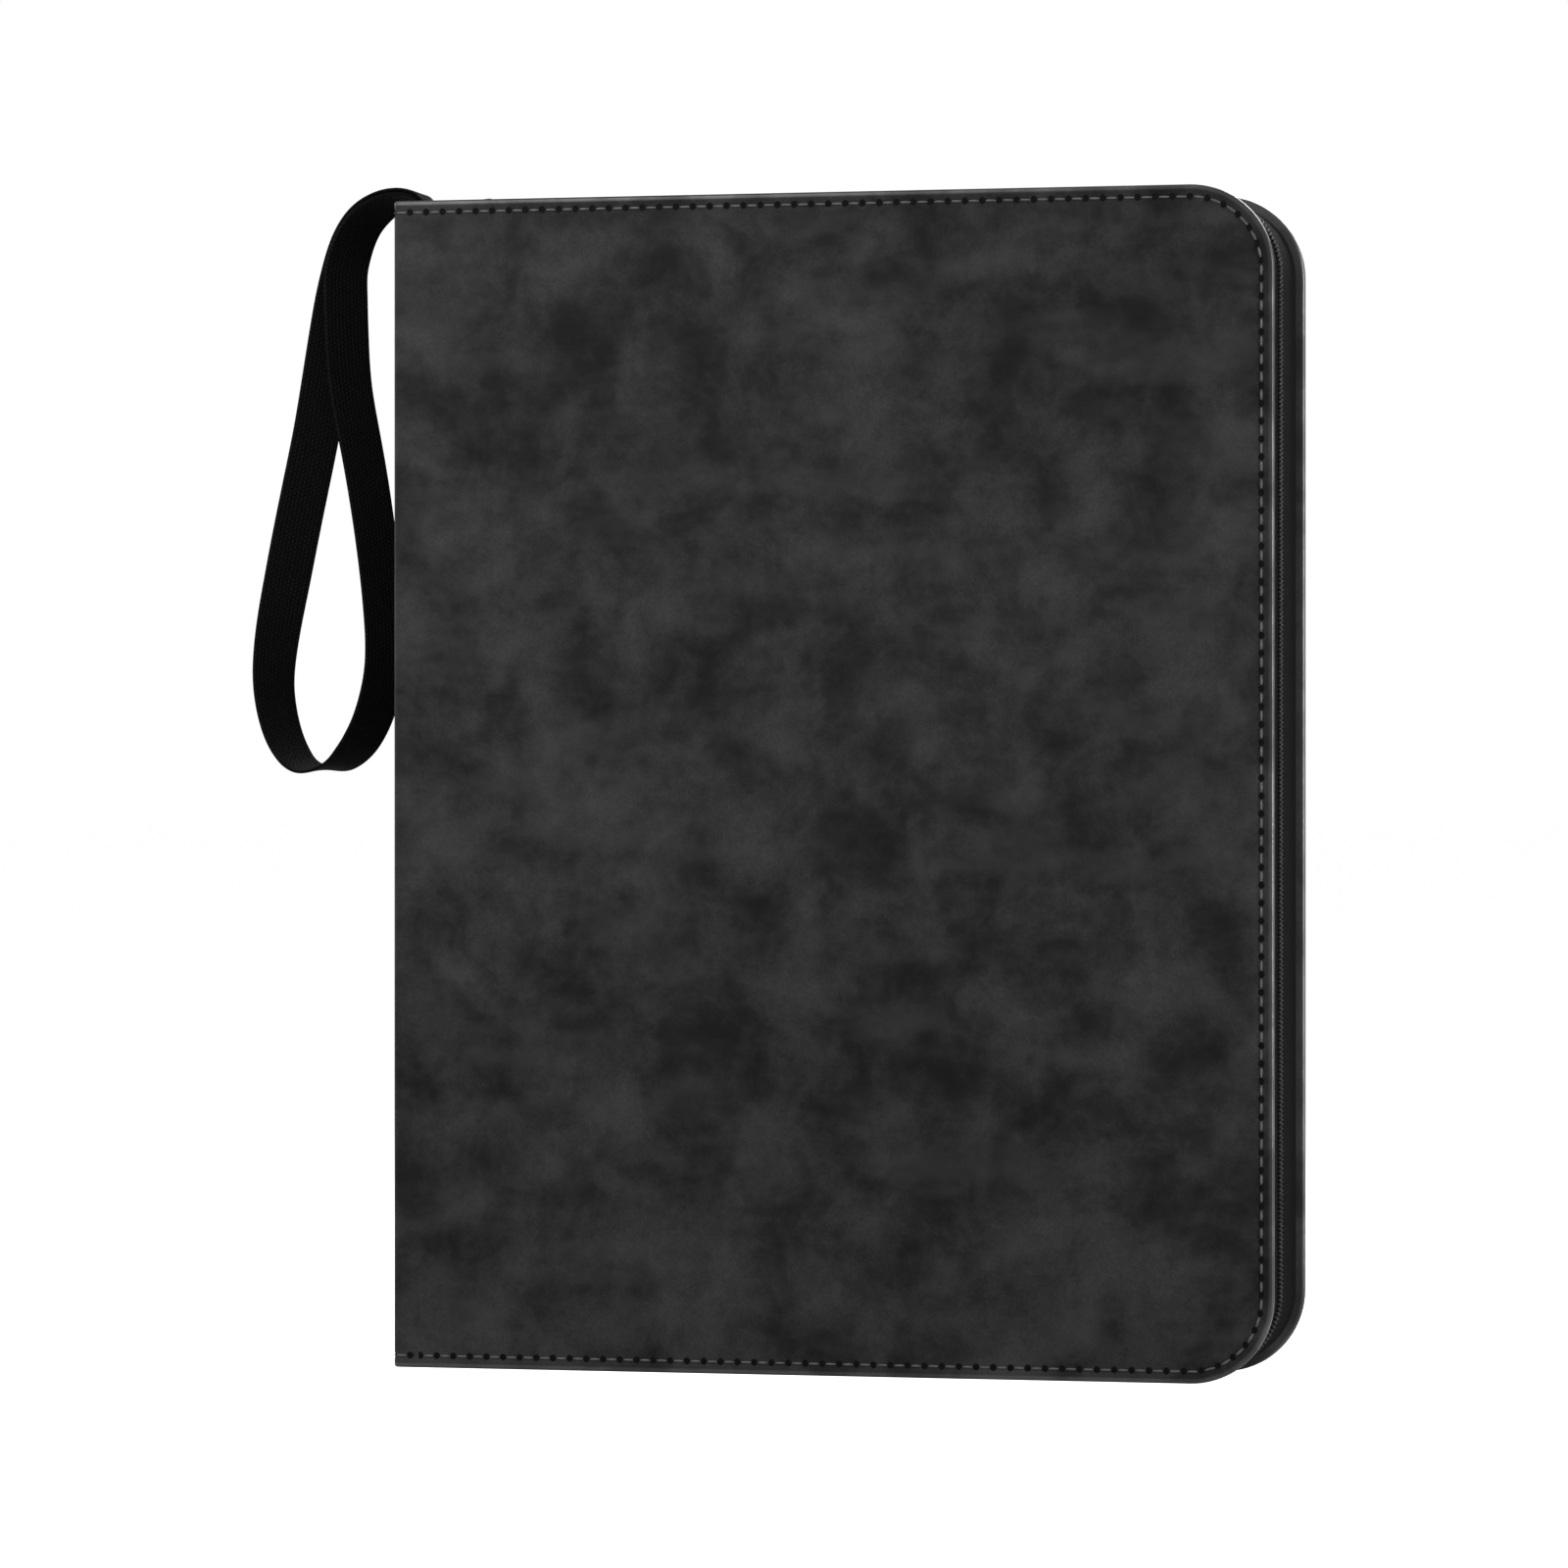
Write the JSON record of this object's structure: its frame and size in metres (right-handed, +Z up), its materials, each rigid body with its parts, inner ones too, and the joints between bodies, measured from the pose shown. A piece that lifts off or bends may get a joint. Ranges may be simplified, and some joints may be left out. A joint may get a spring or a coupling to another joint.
{
  "type": "trading card binder",
  "caption": "Zippered hard-cover binder for trading cards, with ring-bound pocket pages inside and a webbing wrist strap at the spine.",
  "frame": {"origin": "middle of the spine's bottom edge face, half way through the spine's thickness and its width", "axes": "+Z up the spine, +X from the spine to the zip edge, +Y from the front cover to the rear cover"},
  "size_m": [0.3211, 0.05, 0.3563],
  "materials": {
    "suede_skin": "matt mottled black-grey suede-look polyurethane with a soft nap",
    "stiff_board": "plain grey-brown board",
    "lining_fabric": "fine black woven polyester",
    "zip_tape": "black woven tape with a herringbone rib",
    "zip_coil": "black nylon coil, satin",
    "zip_metal": "black enamel on zinc",
    "nickel": "nickel plate, bright",
    "steel_plate": "plain rolled steel, satin",
    "webbing": "black flat-woven nylon webbing",
    "page_sheet": "black backing sheet with clear polypropylene pockets"
  },
  "bodies": {
    "spine": {"spine_skin": "suede_skin", "spine_board": "stiff_board", "spine_lining": "lining_fabric", "ring_housing": "nickel", "housing_rivets": "nickel", "lever_pins": "steel_plate", "strap_tail": "webbing"},
    "front_cover": {"front_cover_skin": "suede_skin", "front_cover_board": "stiff_board", "front_cover_lining": "lining_fabric", "front_zip_tape": "zip_tape", "front_zip_coil": "zip_coil", "front_zip_stops": "zip_metal"},
    "rear_cover": {"rear_cover_skin": "suede_skin", "rear_cover_board": "stiff_board", "rear_cover_lining": "lining_fabric", "rear_zip_tape": "zip_tape", "rear_zip_coil": "zip_coil", "rear_zip_stops": "zip_metal"},
    "zip_slider": {"slider_body": "zip_metal"},
    "zip_pull": {"zip_pull": "zip_metal"},
    "ring_half_front": {"ring_blade_front": "steel_plate", "half_rings_front": "nickel"},
    "ring_half_rear": {"ring_blade_rear": "steel_plate", "half_rings_rear": "nickel"},
    "top_lever": {"top_lever": "nickel"},
    "bottom_lever": {"bottom_lever": "nickel"},
    "wrist_strap": {"wrist_strap": "webbing"},
    "page_01": {"page_01": "page_sheet"},
    "page_02": {"page_02": "page_sheet"},
    "page_03": {"page_03": "page_sheet"},
    "page_04": {"page_04": "page_sheet"},
    "page_05": {"page_05": "page_sheet"},
    "page_06": {"page_06": "page_sheet"},
    "page_07": {"page_07": "page_sheet"},
    "page_08": {"page_08": "page_sheet"},
    "page_09": {"page_09": "page_sheet"},
    "page_10": {"page_10": "page_sheet"},
    "page_11": {"page_11": "page_sheet"},
    "page_12": {"page_12": "page_sheet"},
    "page_13": {"page_13": "page_sheet"},
    "page_14": {"page_14": "page_sheet"},
    "page_15": {"page_15": "page_sheet"},
    "page_16": {"page_16": "page_sheet"},
    "page_17": {"page_17": "page_sheet"},
    "page_18": {"page_18": "page_sheet"},
    "page_19": {"page_19": "page_sheet"},
    "page_20": {"page_20": "page_sheet"}
  },
  "joints": [
    {"name": "front_cover_hinge", "type": "hinge", "parent": "spine", "child": "front_cover", "pos_m": [-0.0019, -0.025, 0.17525], "axis": [0, 0, -1], "range_deg": [0, 90]},
    {"name": "rear_cover_hinge", "type": "hinge", "parent": "spine", "child": "rear_cover", "pos_m": [-0.0019, 0.025, 0.17525], "axis": [0, 0, 1], "range_deg": [0, 90]},
    {"name": "zip_slide", "type": "slide", "parent": "rear_cover", "child": "zip_slider", "axis": [1, 0, 0], "range_m": [0, 0.2]},
    {"name": "zip_pull_swing", "type": "hinge", "parent": "zip_slider", "child": "zip_pull", "pos_m": [0.021, -0.003, 0.3512], "axis": [0, -1, 0], "range_deg": [0, 150]},
    {"name": "wrist_strap_swing", "type": "hinge", "parent": "spine", "child": "wrist_strap", "pos_m": [0.0003, 0, 0.35185], "axis": [0, 1, 0], "range_deg": [0, 135]},
    {"name": "top_lever_press", "type": "hinge", "parent": "spine", "child": "top_lever", "pos_m": [0.0049, 0, 0.31125], "axis": [0, 1, 0], "range_deg": [0, 12]},
    {"name": "bottom_lever_press", "type": "hinge", "parent": "spine", "child": "bottom_lever", "pos_m": [0.0049, 0, 0.03925], "axis": [0, -1, 0], "range_deg": [0, 12]},
    {"name": "front_rings_open", "type": "hinge", "parent": "spine", "child": "ring_half_front", "pos_m": [0.003, -0.011, 0.17525], "axis": [0, 0, -1], "range_deg": [0, 12]},
    {"name": "rear_rings_open", "type": "hinge", "parent": "spine", "child": "ring_half_rear", "pos_m": [0.003, 0.011, 0.17525], "axis": [0, 0, 1], "range_deg": [0, 12]},
    {"name": "page_01_turn", "type": "hinge", "parent": "spine", "child": "page_01", "pos_m": [0.0139, 0, 0.17525], "axis": [0, 0, -1], "range_deg": [0, 87.8]},
    {"name": "page_02_turn", "type": "hinge", "parent": "spine", "child": "page_02", "pos_m": [0.0139, 0, 0.17525], "axis": [0, 0, -1], "range_deg": [0, 86]},
    {"name": "page_03_turn", "type": "hinge", "parent": "spine", "child": "page_03", "pos_m": [0.0139, 0, 0.17525], "axis": [0, 0, -1], "range_deg": [0, 84.2]},
    {"name": "page_04_turn", "type": "hinge", "parent": "spine", "child": "page_04", "pos_m": [0.0139, 0, 0.17525], "axis": [0, 0, -1], "range_deg": [0, 82.4]},
    {"name": "page_05_turn", "type": "hinge", "parent": "spine", "child": "page_05", "pos_m": [0.0139, 0, 0.17525], "axis": [0, 0, -1], "range_deg": [0, 80.6]},
    {"name": "page_06_turn", "type": "hinge", "parent": "spine", "child": "page_06", "pos_m": [0.0139, 0, 0.17525], "axis": [0, 0, -1], "range_deg": [0, 78.8]},
    {"name": "page_07_turn", "type": "hinge", "parent": "spine", "child": "page_07", "pos_m": [0.0139, 0, 0.17525], "axis": [0, 0, -1], "range_deg": [0, 77]},
    {"name": "page_08_turn", "type": "hinge", "parent": "spine", "child": "page_08", "pos_m": [0.0139, 0, 0.17525], "axis": [0, 0, -1], "range_deg": [0, 75.2]},
    {"name": "page_09_turn", "type": "hinge", "parent": "spine", "child": "page_09", "pos_m": [0.0139, 0, 0.17525], "axis": [0, 0, -1], "range_deg": [0, 73.4]},
    {"name": "page_10_turn", "type": "hinge", "parent": "spine", "child": "page_10", "pos_m": [0.0139, 0, 0.17525], "axis": [0, 0, -1], "range_deg": [0, 71.6]},
    {"name": "page_11_turn", "type": "hinge", "parent": "spine", "child": "page_11", "pos_m": [0.0139, 0, 0.17525], "axis": [0, 0, 1], "range_deg": [0, 71.6]},
    {"name": "page_12_turn", "type": "hinge", "parent": "spine", "child": "page_12", "pos_m": [0.0139, 0, 0.17525], "axis": [0, 0, 1], "range_deg": [0, 73.4]},
    {"name": "page_13_turn", "type": "hinge", "parent": "spine", "child": "page_13", "pos_m": [0.0139, 0, 0.17525], "axis": [0, 0, 1], "range_deg": [0, 75.2]},
    {"name": "page_14_turn", "type": "hinge", "parent": "spine", "child": "page_14", "pos_m": [0.0139, 0, 0.17525], "axis": [0, 0, 1], "range_deg": [0, 77]},
    {"name": "page_15_turn", "type": "hinge", "parent": "spine", "child": "page_15", "pos_m": [0.0139, 0, 0.17525], "axis": [0, 0, 1], "range_deg": [0, 78.8]},
    {"name": "page_16_turn", "type": "hinge", "parent": "spine", "child": "page_16", "pos_m": [0.0139, 0, 0.17525], "axis": [0, 0, 1], "range_deg": [0, 80.6]},
    {"name": "page_17_turn", "type": "hinge", "parent": "spine", "child": "page_17", "pos_m": [0.0139, 0, 0.17525], "axis": [0, 0, 1], "range_deg": [0, 82.4]},
    {"name": "page_18_turn", "type": "hinge", "parent": "spine", "child": "page_18", "pos_m": [0.0139, 0, 0.17525], "axis": [0, 0, 1], "range_deg": [0, 84.2]},
    {"name": "page_19_turn", "type": "hinge", "parent": "spine", "child": "page_19", "pos_m": [0.0139, 0, 0.17525], "axis": [0, 0, 1], "range_deg": [0, 86]},
    {"name": "page_20_turn", "type": "hinge", "parent": "spine", "child": "page_20", "pos_m": [0.0139, 0, 0.17525], "axis": [0, 0, 1], "range_deg": [0, 87.8]}
  ],
  "couplings": [
    {"joint": "bottom_lever_press", "follows": "top_lever_press", "ratio": 1},
    {"joint": "front_rings_open", "follows": "top_lever_press", "ratio": 1},
    {"joint": "rear_rings_open", "follows": "top_lever_press", "ratio": 1},
    {"joint": "page_01_turn", "follows": "front_cover_hinge", "ratio": 0.97},
    {"joint": "page_02_turn", "follows": "front_cover_hinge", "ratio": 0.95},
    {"joint": "page_03_turn", "follows": "front_cover_hinge", "ratio": 0.93},
    {"joint": "page_04_turn", "follows": "front_cover_hinge", "ratio": 0.91},
    {"joint": "page_05_turn", "follows": "front_cover_hinge", "ratio": 0.89},
    {"joint": "page_06_turn", "follows": "front_cover_hinge", "ratio": 0.87},
    {"joint": "page_07_turn", "follows": "front_cover_hinge", "ratio": 0.85},
    {"joint": "page_08_turn", "follows": "front_cover_hinge", "ratio": 0.83},
    {"joint": "page_09_turn", "follows": "front_cover_hinge", "ratio": 0.81},
    {"joint": "page_10_turn", "follows": "front_cover_hinge", "ratio": 0.79},
    {"joint": "page_11_turn", "follows": "rear_cover_hinge", "ratio": 0.79},
    {"joint": "page_12_turn", "follows": "rear_cover_hinge", "ratio": 0.81},
    {"joint": "page_13_turn", "follows": "rear_cover_hinge", "ratio": 0.83},
    {"joint": "page_14_turn", "follows": "rear_cover_hinge", "ratio": 0.85},
    {"joint": "page_15_turn", "follows": "rear_cover_hinge", "ratio": 0.87},
    {"joint": "page_16_turn", "follows": "rear_cover_hinge", "ratio": 0.89},
    {"joint": "page_17_turn", "follows": "rear_cover_hinge", "ratio": 0.91},
    {"joint": "page_18_turn", "follows": "rear_cover_hinge", "ratio": 0.93},
    {"joint": "page_19_turn", "follows": "rear_cover_hinge", "ratio": 0.95},
    {"joint": "page_20_turn", "follows": "rear_cover_hinge", "ratio": 0.97}
  ]
}
